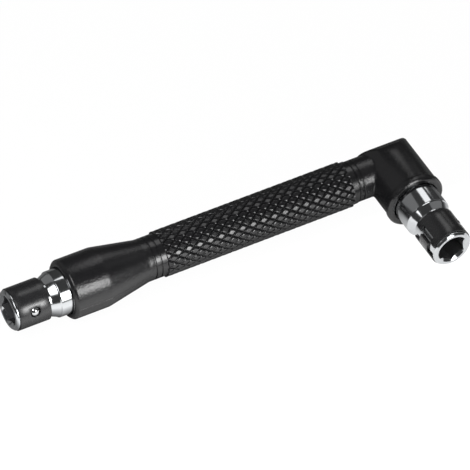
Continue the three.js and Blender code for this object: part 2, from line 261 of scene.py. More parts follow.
class StudioSettings(PropertyGroup):
    """Camera and lights; places are azimuths from the front and elevations from the floor."""

    azimuth: turn_angle("Camera azimuth", -31.494, "Where the camera stands around the tool")
    elevation: turn_angle("Camera elevation", 47.067, "How high the camera stands")
    roll: turn_angle("Camera roll", 3.502, "How far the camera is tilted")
    distance: length("Camera distance", 1431.515, "From the camera to the point it looks at")
    lens: FloatProperty(name="Lens", description="Focal length for a 36 mm sensor", default=467.109,
                        subtype='DISTANCE_CAMERA', unit='CAMERA')
    aim_x: length("Aim along the handle", 3.936, "Point that the camera looks at")
    aim_y: length("Aim across the handle", 8.549, "Point that the camera looks at")
    aim_z: length("Aim height", 7.45, "Point that the camera looks at")
    light_distance: length("Light distance", 600, "From the tool to the far lights")
    side_distance: length("Side light distance", 90, "From the front socket to the side light")
    side_spread: turn_angle("Side light spread", 52, "Beam of the side light through its grid")
    key: strength("Key", 2.6, "Brightness of the tall light in front, to the right")
    key_place: angle_pair("Key place", (14, 22), "Azimuth and elevation of the key light")
    key_size: angle_pair("Key size", (28, 42), "Width and height of the key light")
    core: strength("Key core", 11, "Extra brightness in the middle of the key light")
    core_place: angle_pair("Key core place", (14, 25), "Azimuth and elevation of the key's core")
    core_size: angle_pair("Key core size", (18, 20), "Width and height of the key's core")
    side: strength("Side", 8, "Brightness of the gridded light on the left")
    side_place: angle_pair("Side place", (-62, 54), "Azimuth and elevation of the side light")
    side_size: angle_pair("Side size", (64, 36), "Width and height of the side light")
    rear: strength("Rear", 1.5, "Brightness of the light behind, to the right")
    rear_place: angle_pair("Rear place", (140, 56), "Azimuth and elevation of the rear light")
    rear_size: angle_pair("Rear size", (18, 30), "Width and height of the rear light")
    strip: strength("Strip", 0.8, "Brightness of the small light low behind, to the right")
    strip_place: angle_pair("Strip place", (127, 27), "Azimuth and elevation of the strip light")
    strip_size: angle_pair("Strip size", (9, 12), "Width and height of the strip light")
    wash: strength("Wash", 9, "Brightness of the light that washes the floor from the left")
    wash_place: angle_pair("Wash place", (-60, 55), "Azimuth and elevation of the wash light")
    wash_size: angle_pair("Wash size", (40, 40), "Width and height of the wash light")
    wall: strength("Wall", 0.19, "Brightness of the grey walls on both sides")
    left_place: angle_pair("Left wall place", (-148, 30), "Azimuth and elevation of the left wall")
    left_size: angle_pair("Left wall size", (56, 50), "Width and height of the left wall")
    right_place: angle_pair("Right wall place", (84, 38), "Azimuth and elevation of the right wall")
    right_size: angle_pair("Right wall size", (26, 60), "Width and height of the right wall")
    shade: strength("Shade", 0.06, "Brightness of the dark room around the lights")
    backdrop: strength("Backdrop", 0.95, "Brightness of the backdrop past the floor")
    floor_reach: length("Floor reach", 3000, "From the middle of the floor to its edges")
    sheet_front: length("Sheet front", -85, "Front edge of the white sheet")
    sheet_back: length("Sheet back", 0, "Back edge of the white sheet")
    sheet_fade: length("Sheet fade", 12, "Width over which the edges of the sheet fade")
    floor_white: strength("Floor white", 1.11, "Brightness of the floor as the camera sees it")
    floor_shadow: strength("Floor shadow", 0.12, "Share of its shadows that the camera sees")


class DriverSettings(PropertyGroup):
    """All that a user may change."""

    socket: PointerProperty(type=SocketSizes, name="Sockets", description="Sizes of the sockets")
    clip: PointerProperty(type=ClipSizes, name="Clips", description="Sizes of the clips and balls")
    nose: PointerProperty(type=NoseSizes, name="Nose", description="Sizes of the nose")
    grip: PointerProperty(type=GripSizes, name="Grip", description="Sizes of the grip")
    elbow: PointerProperty(type=ElbowSizes, name="Elbow", description="Sizes of the elbow")
    moulding: PointerProperty(type=MouldingSizes, name="Mouldings", description="Shared sizes")
    looks: PointerProperty(type=FinishLooks, name="Finishes", description="Colours and grains")
    studio: PointerProperty(type=StudioSettings, name="Studio", description="Camera and lights")


# Shaping helpers

def turn(outline, steps=ROUND_STEPS, closed=False):
    """Spins an outline about Z; its corners are a radius, a station and a rounding."""
    shape = bmesh.new()
    corners = [shape.verts.new((radius, 0, station)) for radius, station, _ in outline]
    ends = corners[1:] + corners[:1] if closed else corners[1:]
    for pair in zip(corners, ends):
        shape.edges.new(pair)
    for corner, (_, _, rounding) in zip(corners, outline):
        if rounding:
            bmesh.ops.bevel(shape, geom=[corner], offset=rounding, offset_type='OFFSET',
                            segments=ROUNDING_STEPS, profile=0.5, affect='VERTICES', material=-1)
    bmesh.ops.spin(shape, geom=shape.verts[:] + shape.edges[:], cent=(0, 0, 0), axis=(0, 0, 1),
                   angle=FULL_TURN, steps=steps, use_merge=True)
    tidy(shape)
    return shape


def tidy(shape):
    """Merges doubled points and turns the faces outwards."""
    bmesh.ops.remove_doubles(shape, verts=shape.verts[:], dist=WELD)
    bmesh.ops.recalc_face_normals(shape, faces=shape.faces[:])


def press_hex(shape, flats, low, high, corner_turn=0.0):
    """Pushes the round wall between two stations out to a hexagon with a corner at a given turn."""
    for vert in shape.verts:
        in_wall = abs(vert.co.xy.length - flats / 2) < WELD
        if in_wall and low - WELD < vert.co.z < high + WELD:
            from_flat = (math.atan2(vert.co.y, vert.co.x) - corner_turn) % HEX_TURN - HEX_TURN / 2
            vert.co.xy /= math.cos(from_flat)


def temporary_object(shape):
    """An object that holds a shape while a modifier works on it."""
    mesh = bpy.data.meshes.new("temporary")
    shape.to_mesh(mesh)
    shape.free()
    holder = bpy.data.objects.new("temporary", mesh)
    bpy.context.scene.collection.objects.link(holder)
    return holder


def combine(shape, other, operation):
    """Joins two shapes, or cuts the second out of the first, and gives the new shape."""
    holders = [temporary_object(shape), temporary_object(other)]
    modifier = holders[0].modifiers.new("combine", 'BOOLEAN')
    modifier.operation = operation
    modifier.solver = 'EXACT'
    modifier.object = holders[1]
    result = bmesh.new()
    result.from_object(holders[0], bpy.context.evaluated_depsgraph_get())
    for holder in holders:
        mesh = holder.data
        bpy.data.objects.remove(holder)
        bpy.data.meshes.remove(mesh)
    tidy(result)
    return result


def finish_piece(name, shape, node, materials):
    """Makes a shape a finished piece that stands for a node; edges marked as crisp stay so."""
    tidy(shape)
    for face in shape.faces:
        face.smooth = True
    for edge in shape.edges:
        edge.smooth = edge.smooth and edge.calc_face_angle(0) < CRISP_ANGLE
    mesh = bpy.data.meshes.new(name)
    shape.to_mesh(mesh)
    shape.free()
    for material in materials:
        mesh.materials.append(material)
    piece = bpy.data.objects.new(name, mesh)
    bpy.context.scene.collection.objects.link(piece)
    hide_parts(node)
    return piece


# Places taken from the frame

def named(rows, name):
    """The row of a list of the record that has a name."""
    return next(row for row in rows if row["name"] == name)


def ball_way(end):
    """The direction that the ball of a bit end slides out in."""
    return Vector(named(frame["joints"], f"{end}_ball_slide")["axis"])


def bit_end_place(end, hex_depth):
    """Where a bit end sits: Z runs in from its mouth, and X runs out through its ball."""
    seat = named(frame["record"]["mounts"], f"{end}_bit_seat")
    inwards = -Vector(seat["axis"])
    outwards = ball_way(end)
    place = Matrix((outwards, inwards.cross(outwards), inwards)).transposed().to_4x4()
    place.translation = Vector(seat["pos_m"]) - inwards * hex_depth
    return place


def handle_axis():
    """The middle of the handle, across it."""
    low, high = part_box("nose_cone")
    return (low + high) / 2


def along_handle(station):
    """Turns a shape about Z into one about the handle, with -Y as its X, and moves it along."""
    middle = handle_axis()
    place = Matrix(((0, 0, 1), (-1, 0, 0), (0, -1, 0))).to_4x4()
    place.translation = (station, middle.y, middle.z)
    return place


def elbow_corner():
    """Where the arm's axis crosses the handle's."""
    low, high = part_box("elbow_socket")
    middle = handle_axis()
    return Vector(((low.x + high.x) / 2, middle.y, middle.z))


# Finishes

def fill_inputs(tree, node, inputs):
    """Gives a node's inputs their values, or a link where the value is a socket."""
    for name, value in inputs.items():
        if isinstance(value, bpy.types.NodeSocket):
            tree.links.new(value, node.inputs[name])
        else:
            node.inputs[name].default_value = value


def add_node(tree, kind, inputs, **settings):
    """Adds a node with its settings and inputs."""
    node = tree.nodes.new(kind)
    for setting, value in settings.items():
        setattr(node, setting, value)
    fill_inputs(tree, node, inputs)
    return node


def new_finish(name):
    """A material with its shader, and where its patterns are read from."""
    material = bpy.data.materials.new(name)
    material.use_nodes = True
    tree = material.node_tree
    shader = tree.nodes["Principled BSDF"]
    place = add_node(tree, 'ShaderNodeTexCoord', {}).outputs["Object"]
    return material, tree, shader, place


def made_once(make):
    """Gives a finish again after the first time instead of making it twice."""
    made = {}

    def finish():
        if make not in made:
            made[make] = make(bpy.context.scene.bit_driver.looks)
        return made[make]
    return finish


def per_millimetre(size):
    """The texture scale that gives features of a size in millimetres."""
    return 1 / (size * MM)


@made_once
def chrome_plating(looks):
    """Bright chrome plated on turned steel."""
    # Chrome plate is a near mirror: sharp studio reflections, with faint cloudy handling marks
    material, tree, shader, place = new_finish("chrome_plating")
    clouds = add_node(tree, 'ShaderNodeTexNoise',
                      {"Vector": place, "Scale": per_millimetre(2.5), "Detail": 4.0})
    gloss = add_node(tree, 'ShaderNodeMapRange',
                     {"Value": clouds.outputs["Fac"], "From Min": 0.3, "From Max": 0.7,
                      "To Min": 0.09, "To Max": 0.14})
    # Polishing marks are finer than a pixel, so they are drawn a quarter of a millimetre wide
    marks = add_node(tree, 'ShaderNodeTexNoise',
                     {"Vector": place, "Scale": per_millimetre(0.25), "Detail": 2.0})
    relief = add_node(tree, 'ShaderNodeBump',
                      {"Height": marks.outputs["Fac"], "Strength": 0.15, "Distance": 0.004 * MM})
    fill_inputs(tree, shader, {"Base Color": (*looks.chrome, 1), "Metallic": 1,
                               "Roughness": gloss.outputs["Result"],
                               "Normal": relief.outputs["Normal"]})
    return material


@made_once
def broached_bore_and_painted_shade(looks):
    """Broached steel that the plating doesn't reach, its colour darkened with painted shade."""
    # Dull grey steel with the broach's streaks, darkened as painted shade for the deep, dim hole
    material, tree, shader, place = new_finish("broached_bore_and_painted_shade")
    streaks = add_node(tree, 'ShaderNodeTexNoise',
                       {"Vector": place, "Scale": per_millimetre(0.4), "Detail": 3.0})
    gloss = add_node(tree, 'ShaderNodeMapRange',
                     {"Value": streaks.outputs["Fac"], "To Min": 0.35, "To Max": 0.55})
    fill_inputs(tree, shader, {"Base Color": (*looks.bore, 1), "Metallic": 1,
                               "Roughness": gloss.outputs["Result"]})
    return material


@made_once
def black_oxide_steel(looks):
    """Spring steel strip with an oiled black oxide finish."""
    # The oxide is a thin dark skin under oil: dark grey body, semi-gloss, with the strip's faint mottle
    material, tree, shader, place = new_finish("black_oxide_steel")
    mottle = add_node(tree, 'ShaderNodeTexNoise',
                      {"Vector": place, "Scale": per_millimetre(0.8), "Detail": 4.0})
    gloss = add_node(tree, 'ShaderNodeMapRange',
                     {"Value": mottle.outputs["Fac"], "From Min": 0.3, "From Max": 0.7,
                      "To Min": 0.24, "To Max": 0.3})
    grain = add_node(tree, 'ShaderNodeTexNoise',
                     {"Vector": place, "Scale": per_millimetre(0.25), "Detail": 2.0})
    relief = add_node(tree, 'ShaderNodeBump',
                      {"Height": grain.outputs["Fac"], "Strength": 0.3, "Distance": 0.01 * MM})
    fill_inputs(tree, shader, {"Base Color": (*looks.oxide, 1), "IOR": 1.6,
                               "Roughness": gloss.outputs["Result"],
                               "Normal": relief.outputs["Normal"]})
    return material


@made_once
def bearing_ball_steel(looks):
    """Ground and polished bearing steel."""
    # A lapped ball mirrors the room in small, with a few fine scuffs
    material, tree, shader, place = new_finish("bearing_ball_steel")
    scuffs = add_node(tree, 'ShaderNodeTexNoise',
                      {"Vector": place, "Scale": per_millimetre(0.5), "Detail": 3.0})
    gloss = add_node(tree, 'ShaderNodeMapRange',
                     {"Value": scuffs.outputs["Fac"], "From Min": 0.35, "From Max": 0.7,
                      "To Min": 0.05, "To Max": 0.12})
    fill_inputs(tree, shader, {"Base Color": (*looks.ball, 1), "Metallic": 1,
                               "Roughness": gloss.outputs["Result"]})
    return material


def black_plastic(name, looks, grain_depth):
    """Glass-filled nylon with a grain that its mould gave it."""
    # Satin black: wide soft highlights broken by a fine grain, with faint lighter flow marks
    material, tree, shader, place = new_finish(name)
    flow = add_node(tree, 'ShaderNodeTexNoise',
                    {"Vector": place, "Scale": per_millimetre(6), "Detail": 4.0})
    tint = add_node(tree, 'ShaderNodeMix',
                    {"Factor": flow.outputs["Fac"], "A": (*looks.plastic, 1),
                     "B": (*looks.plastic_worn, 1)}, data_type='RGBA')
    gloss = add_node(tree, 'ShaderNodeMapRange',
                     {"Value": flow.outputs["Fac"], "From Min": 0.3, "From Max": 0.7,
                      "To Min": 0.17, "To Max": 0.24})
    # The grain is about a tenth of a millimetre, drawn more than four times as coarse so that it shows
    grain = add_node(tree, 'ShaderNodeTexNoise',
                     {"Vector": place, "Scale": per_millimetre(0.45), "Detail": 3.0})
    relief = add_node(tree, 'ShaderNodeBump',
                      {"Height": grain.outputs["Fac"], "Strength": 1.0, "Distance": grain_depth})
    fill_inputs(tree, shader, {"Base Color": tint.outputs["Result"], "IOR": 1.53,
                               "Roughness": gloss.outputs["Result"],
                               "Normal": relief.outputs["Normal"]})
    return material


@made_once
def moulded_black_plastic(looks):
    """Black plastic from a spark-eroded mould, as on the nose and the elbow."""
    return black_plastic("moulded_black_plastic", looks, looks.moulded_grain)


@made_once
def knurled_black_plastic(looks):
    """Black plastic from a cut mould, as on the grip, whose facets are nearly smooth."""
    return black_plastic("knurled_black_plastic", looks, looks.knurled_grain)


@made_once
def drawn_steel(looks):
    """Cold-drawn steel bar."""
    # Grey with fine lines along the bar, stretched noise along X
    material, tree, shader, place = new_finish("drawn_steel")
    stretched = add_node(tree, 'ShaderNodeMapping', {"Vector": place, "Scale": (0.02, 1, 1)})
    lines = add_node(tree, 'ShaderNodeTexNoise',
                     {"Vector": stretched.outputs["Vector"], "Scale": per_millimetre(0.2)})
    gloss = add_node(tree, 'ShaderNodeMapRange',
                     {"Value": lines.outputs["Fac"], "To Min": 0.3, "To Max": 0.5})
    fill_inputs(tree, shader, {"Base Color": (*looks.rod, 1), "Metallic": 1,
                               "Roughness": gloss.outputs["Result"]})
    return material


# Pieces

# Each bit end, and the moulding that its socket sits in
ENDS = {"front": "nose_cone", "elbow": "elbow_housing"}


def ball_turn(end):
    """How far the ball of a bit end is turned up from the plane of the L."""
    return math.asin(ball_way(end).z)


def hex_rod_hole(flats, low, high):
    """A hex bar along the handle, a flat upright, to cut the core rod's hole with."""
    bar = bmesh.new()
    bmesh.ops.create_cone(bar, cap_ends=True, segments=6, radius1=flats / math.sqrt(3),
                          radius2=flats / math.sqrt(3), depth=high - low)
    bmesh.ops.translate(bar, verts=bar.verts[:], vec=(0, 0, (high - low) / 2))
    bmesh.ops.rotate(bar, verts=bar.verts[:], cent=(0, 0, 0),
                     matrix=Matrix.Rotation(HEX_TURN / 2, 3, 'Z'))
    bar.transform(along_handle(low))
    return bar


def socket_shape(end, sizes, clip):
    """A bit socket: bore, mouth, lip, clip groove, shoulder, collar and hidden tail."""
    axis = 0 if end == "front" else 1
    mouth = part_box(f"{end}_socket")[0][axis]
    far_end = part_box(f"{end}_socket")[1][axis] - mouth
    collar_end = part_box(ENDS[end])[0][axis] - mouth + sizes.collar_seat
    flat = sizes.hex_flats / 2
    tail = sizes.tail_flats / 2
    rounding = sizes.rounding
    lead_in = sizes.lead_in_radius
    if end == "front":
        tail_end = far_end
        last = [(sizes.rod_flats / 2, tail_end, 0),
                (sizes.rod_flats / 2, tail_end - sizes.rod_seat, 0),
                (0, tail_end - sizes.rod_seat, 0)]
    else:
        tail_end = collar_end + sizes.elbow_tail
        last = [(sizes.stub_radius, tail_end, 0),
                (sizes.stub_radius, far_end, rounding),
                (0, far_end, 0)]
    shape = turn([
        (0, sizes.hex_depth, 0),
        (flat, sizes.hex_depth, 0),
        (flat, lead_in - flat, 0),
        (lead_in, 0, rounding),
        (sizes.lip_radius - sizes.lip_chamfer, 0, rounding),
        (sizes.lip_radius, sizes.lip_chamfer, rounding),
        (sizes.lip_radius, sizes.lip_length, rounding),
        (sizes.groove_radius, sizes.lip_length, 0),
        (sizes.groove_radius, sizes.foot_station, rounding),
        (sizes.collar_radius - sizes.collar_chamfer, sizes.shoulder_station, rounding),
        (sizes.collar_radius, sizes.shoulder_station + sizes.collar_chamfer, rounding),
        (sizes.collar_radius, collar_end, 0),
        (tail, collar_end, 0),
        (tail, tail_end, 0),
        *last,
    ])
    press_hex(shape, sizes.hex_flats, lead_in - flat, sizes.hex_depth)
    for vert in shape.verts:
        if abs(vert.co.z - (lead_in - flat)) < WELD:
            vert.co.z = lead_in - vert.co.xy.length
    press_hex(shape, sizes.tail_flats, collar_end, tail_end, ball_turn(end))
    if end == "front":
        press_hex(shape, sizes.rod_flats, tail_end - sizes.rod_seat, tail_end,
                  ball_turn(end) + HEX_TURN / 2)
    return combine(shape, ball_hole(sizes, clip), 'DIFFERENCE')


def ball_distance(clip):
    """How far the ball's middle is from the socket's axis: it bears on the clip's hole from inside."""
    hole_edge = math.sqrt(clip.inner_radius ** 2 - clip.hole_radius ** 2)
    return hole_edge - math.sqrt(clip.ball_radius ** 2 - clip.hole_radius ** 2) - clip.ball_fit


def ball_hole(sizes, clip):
    """The hole that a ball runs in: a round seat under it and a straight way outwards."""
    radius = clip.ball_radius + clip.ball_fit
    hole = bmesh.new()
    seat = bmesh.ops.create_uvsphere(hole, u_segments=HOLE_SIDES, v_segments=HOLE_SIDES // 2,
                                      radius=radius)["verts"]
    for vert in seat:
        if vert.co.z > WELD:
            vert.co = (*(vert.co.xy.normalized() * radius if vert.co.xy.length > WELD else vert.co.xy),
                       sizes.collar_radius)
    tidy(hole)
    hole.transform(Matrix.Rotation(math.pi / 2, 4, 'Y'))
    hole.transform(Matrix.Translation((ball_distance(clip), 0, clip.station)))
    return hole


class BITDRIVER_OT_sockets(Operator):
    """Model the two chromed bit sockets."""

    bl_idname = "bit_driver.sockets"
    bl_label = "Bit sockets"

    def execute(self, context):
        settings = context.scene.bit_driver
        sizes = settings.socket
        bore_radius = sizes.hex_flats / math.sqrt(3) + WELD
        for end in ENDS:
            shape = socket_shape(end, sizes, settings.clip)
            for face in shape.faces:
                middle = face.calc_center_median()
                in_bore = middle.xy.length < bore_radius and middle.z < sizes.hex_depth + WELD
                off_cone = all(vert.co.xy.length < bore_radius for vert in face.verts)
                face.material_index = 1 if in_bore and off_cone else 0
            shape.transform(bit_end_place(end, sizes.hex_depth))
            if end == "elbow":
                corner = elbow_corner()
                reach = sizes.stub_radius + PAST
                hole = hex_rod_hole(sizes.rod_flats, corner.x - reach, corner.x + reach)
                shape = combine(shape, hole, 'DIFFERENCE')
            piece = finish_piece(f"{end}_socket_body", shape, f"{end}_socket",
                                 [chrome_plating(), broached_bore_and_painted_shade()])
            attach(piece, "driver")
        return {'FINISHED'}


def clip_strip(sizes):
    """The clip's strip, flat: X runs around the clip from its hole, Y along the socket, Z outwards."""
    middle_radius = sizes.inner_radius + sizes.thickness / 2
    column = sizes.column * middle_radius
    half_length = sizes.clip_length / 2
    half_tongue = sizes.tongue_width / 2
    half_notch = half_tongue + sizes.tongue_gap
    tip = (sizes.tongue - FULL_TURN) * middle_radius
    shoulder = (sizes.shoulder - FULL_TURN) * middle_radius
    ear = sizes.ear * middle_radius
    notch = sizes.notch * middle_radius
    strip = bmesh.new()
    columns = round((ear - tip) / column)
    bmesh.ops.create_grid(strip, x_segments=columns, y_segments=1, size=1)
    bmesh.ops.scale(strip, verts=strip.verts[:], vec=((ear - tip) / 2, half_length, 1))
    bmesh.ops.translate(strip, verts=strip.verts[:], vec=((ear + tip) / 2, 0, 0))
    rows = [half_notch] + [half_tongue * share for share in TONGUE_ROWS]
    for row in rows + [-row for row in rows]:
        bmesh.ops.bisect_plane(strip, geom=strip.verts[:] + strip.edges[:] + strip.faces[:],
                               plane_co=(0, row, 0), plane_no=(0, 1, 0))
    half_window = round(half_tongue / column) * column
    waste = []
    for face in strip.faces:
        middle = face.calc_center_median()
        beside_tongue = middle.x < shoulder and abs(middle.y) > half_tongue
        in_notch = middle.x > notch and abs(middle.y) < half_notch
        in_window = abs(middle.x) < half_window and abs(middle.y) < half_tongue
        if beside_tongue or in_notch or in_window:
            waste.append(face)
    bmesh.ops.delete(strip, geom=waste, context='FACES')
    window = [edge for edge in strip.edges if edge.is_boundary
              and all(abs(v.co.x) < half_window + WELD and abs(v.co.y) < half_tongue + WELD
                      for v in edge.verts)]
    rim = bmesh.ops.extrude_edge_only(strip, edges=window)["geom"]
    for vert in rim:
        if isinstance(vert, bmesh.types.BMVert):
            vert.co.xy = vert.co.xy.normalized() * sizes.hole_radius
    bmesh.ops.recalc_face_normals(strip, faces=strip.faces[:])
    if strip.faces[:][0].normal.z < 0:
        bmesh.ops.reverse_faces(strip, faces=strip.faces[:])
    bmesh.ops.solidify(strip, geom=strip.faces[:], thickness=sizes.thickness)
    lowest = min(vert.co.z for vert in strip.verts)
    bmesh.ops.translate(strip, verts=strip.verts[:], vec=(0, 0, -lowest))
    bmesh.ops.recalc_face_normals(strip, faces=strip.faces[:])
    edges = [edge for edge in strip.edges if edge.calc_face_angle(0) > CRISP_ANGLE
             and abs(edge.verts[0].co.z - edge.verts[1].co.z) < WELD]
    bmesh.ops.bevel(strip, geom=edges, offset=sizes.rounding, offset_type='OFFSET',
                    segments=FINE_STEPS, profile=0.5, affect='EDGES', clamp_overlap=True, material=-1)
    return strip


def wrapped_clip(sizes, side):
    """The strip bent round the socket, its split on one side of the hole."""
    strip = clip_strip(sizes)
    middle_radius = sizes.inner_radius + sizes.thickness / 2
    for vert in strip.verts:
        around = side * vert.co.x / middle_radius
        radius = sizes.inner_radius + vert.co.z
        vert.co = (radius * math.cos(around), radius * math.sin(around), sizes.station + vert.co.y)
    return strip


class BITDRIVER_OT_clips(Operator):
    """Model the two spring clips."""

    bl_idname = "bit_driver.clips"
    bl_label = "Spring clips"

    def execute(self, context):
        settings = context.scene.bit_driver
        sizes = settings.clip
        for end, side in (("front", 1), ("elbow", -1)):
            shape = wrapped_clip(sizes, side)
            place = bit_end_place(end, settings.socket.hex_depth)
            shape.transform(place)
            piece = finish_piece(f"{end}_clip_strip", shape, f"{end}_clip",
                                 [black_oxide_steel()])
            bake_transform(piece)
        return {'FINISHED'}


class BITDRIVER_OT_balls(Operator):
    """Model the two retaining balls."""

    bl_idname = "bit_driver.balls"
    bl_label = "Retaining balls"

    def execute(self, context):
        radius = context.scene.bit_driver.clip.ball_radius
        for end in ENDS:
            low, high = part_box(f"{end}_ball")
            shape = bmesh.new()
            bmesh.ops.create_uvsphere(shape, u_segments=BALL_SIDES, v_segments=BALL_SIDES // 2,
                                      radius=radius)
            bmesh.ops.translate(shape, verts=shape.verts[:], vec=(low + high) / 2)
            piece = finish_piece(f"{end}_ball_polished", shape, f"{end}_ball",
                                 [bearing_ball_steel()])
            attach(piece, f"{end}_ball")
        return {'FINISHED'}


def raise_parting(shape, moulding, least_radius):
    """Raises the mould's parting line as a fine ridge along both sides of a turned shape about Z."""
    def on_line(vert):
        return abs(vert.co.y) < WELD and vert.co.xy.length > least_radius
    lines = [edge for edge in shape.edges if all(on_line(vert) for vert in edge.verts)]
    bmesh.ops.bevel(shape, geom=lines, offset=moulding.parting_width / 2, offset_type='OFFSET',
                    segments=FINE_STEPS, profile=0.5, affect='EDGES', clamp_overlap=True, material=-1)
    for vert in shape.verts:
        if on_line(vert):
            vert.co.xy += vert.co.xy.normalized() * moulding.parting


class BITDRIVER_OT_nose(Operator):
    """Model the moulded nose with its cone and pockets."""

    bl_idname = "bit_driver.nose"
    bl_label = "Nose"

    def execute(self, context):
        settings = context.scene.bit_driver
        sizes = settings.nose
        socket = settings.socket
        moulding = settings.moulding
        low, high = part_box("nose_cone")
        total = high.x - low.x
        cone_end = sizes.cylinder + sizes.cone
        band = settings.grip.band_radius
        collar_pocket = socket.collar_radius + moulding.fit
        collar_end = socket.collar_seat + moulding.fit
        tail_flats = socket.tail_flats + 2 * moulding.fit
        tail_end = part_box("front_socket")[1].x - low.x + moulding.fit
        # A spigot fills the seam in front of the grip, so it reads as a groove
        spigot = band - moulding.ring_depth
        spigot_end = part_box("grip_sleeve")[0].x - low.x - moulding.seam_play
        shape = turn([
            (moulding.rod_bore, spigot_end, 0),
            (moulding.rod_bore, tail_end, 0),
            (tail_flats / 2, tail_end, 0),
            (tail_flats / 2, collar_end, 0),
            (collar_pocket, collar_end, 0),
            (collar_pocket, 0, sizes.rounding),
            (sizes.radius - sizes.chamfer, 0, sizes.rounding),
            (sizes.radius, sizes.chamfer, sizes.rounding),
            (sizes.radius, sizes.cylinder, sizes.shoulder_rounding),
            (band, cone_end, sizes.shoulder_rounding),
            (band, total, settings.grip.edge),
            (spigot, total, 0),
            (spigot, spigot_end, 0),
        ], closed=True)
        press_hex(shape, tail_flats, collar_end, tail_end)
        raise_parting(shape, moulding, band - WELD)
        shape.transform(along_handle(low.x))
        piece = finish_piece("nose_moulding", shape, "nose_cone",
                             [moulded_black_plastic()])
        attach(piece, "driver")
        return {'FINISHED'}


def diamond_top(tile, sizes):
    """The flat face on top of a diamond."""
    return next(face for face in tile.faces
                if all(vert.co.z > sizes.depth - WELD for vert in face.verts))


def diamond_tile(sizes, row):
    """One diamond of the knurl on the grip, at angle 0 and height 0, with its share of the grooves."""
    half_turn = math.pi / sizes.starts
    half_width = half_turn * sizes.radius
    tile = bmesh.new()
    corners = [(-half_width, 0, 0), (0, -row, 0), (half_width, 0, 0), (0, row, 0)]
    face = tile.faces.new([tile.verts.new(corner) for corner in corners])
    # A new face has no normal yet, and the inset needs one
    face.normal_update()
    bmesh.ops.inset_individual(tile, faces=[face], thickness=sizes.groove)
    bmesh.ops.translate(tile, verts=face.verts[:], vec=(0, 0, sizes.depth))
    bmesh.ops.bevel(tile, geom=face.verts[:], offset=sizes.corner_cut, offset_type='OFFSET',
                    segments=1, profile=0.5, affect='VERTICES', clamp_overlap=True, material=-1)
    bmesh.ops.bevel(tile, geom=diamond_top(tile, sizes).edges[:], offset=sizes.top_rounding,
                    offset_type='OFFSET', segments=ROUNDING_STEPS, profile=0.5, affect='EDGES',
                    clamp_overlap=True, material=-1)
    # The top stays flat, and the rounding around it is smooth, so each row catches a thin glint
    for edge in diamond_top(tile, sizes).edges:
        edge.smooth = False
    for normal in ((1, 0, 0), (0, 1, 0)):
        bmesh.ops.bisect_plane(tile, geom=tile.verts[:] + tile.edges[:] + tile.faces[:],
                               plane_co=(0, 0, 0), plane_no=normal)
    root = sizes.radius - sizes.depth
    for vert in tile.verts:
        around = vert.co.x / sizes.radius
        out = root + vert.co.z
        on_top = vert.co.z > sizes.depth - WELD
        # The points of the top stay in one plane
        bend = math.cos(around) if on_top else 1
        vert.co = (out * math.cos(around) / bend, out * math.sin(around) / bend, vert.co.y)
    return tile


def pull_rim(shape, rim, outline):
    """Extrudes an open rim about Z through rings that are a radius and a station."""
    for radius, station in outline:
        geometry = bmesh.ops.extrude_edge_only(shape, edges=rim)["geom"]
        rim = [item for item in geometry if isinstance(item, bmesh.types.BMEdge)]
        for vert in {vert for edge in rim for vert in edge.verts}:
            vert.co.xy = vert.co.xy.normalized() * radius
            vert.co.z = station
    return rim


def open_rim(shape, station):
    """The open edges of a shape at a station."""
    return [edge for edge in shape.edges if edge.is_boundary
            and all(abs(vert.co.z - station) < WELD for vert in edge.verts)]


class BITDRIVER_OT_grip(Operator):
    """Model the knurled grip and its plain bands."""

    bl_idname = "bit_driver.grip"
    bl_label = "Grip"

    def execute(self, context):
        settings = context.scene.bit_driver
        sizes = settings.grip
        moulding = settings.moulding
        low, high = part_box("grip_sleeve")
        knurl_length = high.x - low.x - sizes.front_band - sizes.rear_band
        rows = round(2 * knurl_length / sizes.pitch)
        row = knurl_length / rows
        half_turn = math.pi / sizes.starts
        around = sizes.starts - 1
        shape = diamond_tile(sizes, row)
        for angle, rise, copies in ((2 * half_turn, 0, around), (half_turn, row, rows)):
            bmesh.ops.spin(shape, geom=shape.verts[:] + shape.edges[:] + shape.faces[:],
                           cent=(0, 0, 0), axis=(0, 0, 1), dvec=(0, 0, rise),
                           angle=angle * copies, steps=copies, use_duplicate=True)
        bmesh.ops.remove_doubles(shape, verts=shape.verts[:], dist=WELD)
        shape.transform(Matrix.Rotation(sizes.knurl_turn, 4, 'Z'))
        for station, outwards in ((0, -1), (knurl_length, 1)):
            bmesh.ops.bisect_plane(shape, geom=shape.verts[:] + shape.edges[:] + shape.faces[:],
                                   dist=WELD, plane_co=(0, 0, station),
                                   plane_no=(0, 0, outwards), clear_outer=True)
        band = sizes.band_radius
        edge = sizes.edge
        ring = moulding.ring_width
        floor = band - moulding.ring_depth
        front = -sizes.front_band
        ring_start = front + sizes.front_ring
        back = knurl_length + sizes.rear_band
        front_rim = pull_rim(shape, open_rim(shape, 0), [
            (band, 0),
            (band, ring_start + ring + edge),
            (band - edge, ring_start + ring),
            (floor, ring_start + ring),
            (floor, ring_start),
            (band - edge, ring_start),
            (band, ring_start - edge),
            (band, front + edge),
            (band - edge, front),
            (moulding.rod_bore, front),
        ])
        back_rim = pull_rim(shape, open_rim(shape, knurl_length), [
            (band, knurl_length),
            (band, back - edge),
            (band - edge, back),
            (moulding.rod_bore, back),
        ])
        bmesh.ops.bridge_loops(shape, edges=front_rim + back_rim)
        shape.transform(along_handle(low.x + sizes.front_band))
        piece = finish_piece("grip_moulding", shape, "grip_sleeve",
                             [knurled_black_plastic()])
        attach(piece, "driver")
        return {'FINISHED'}


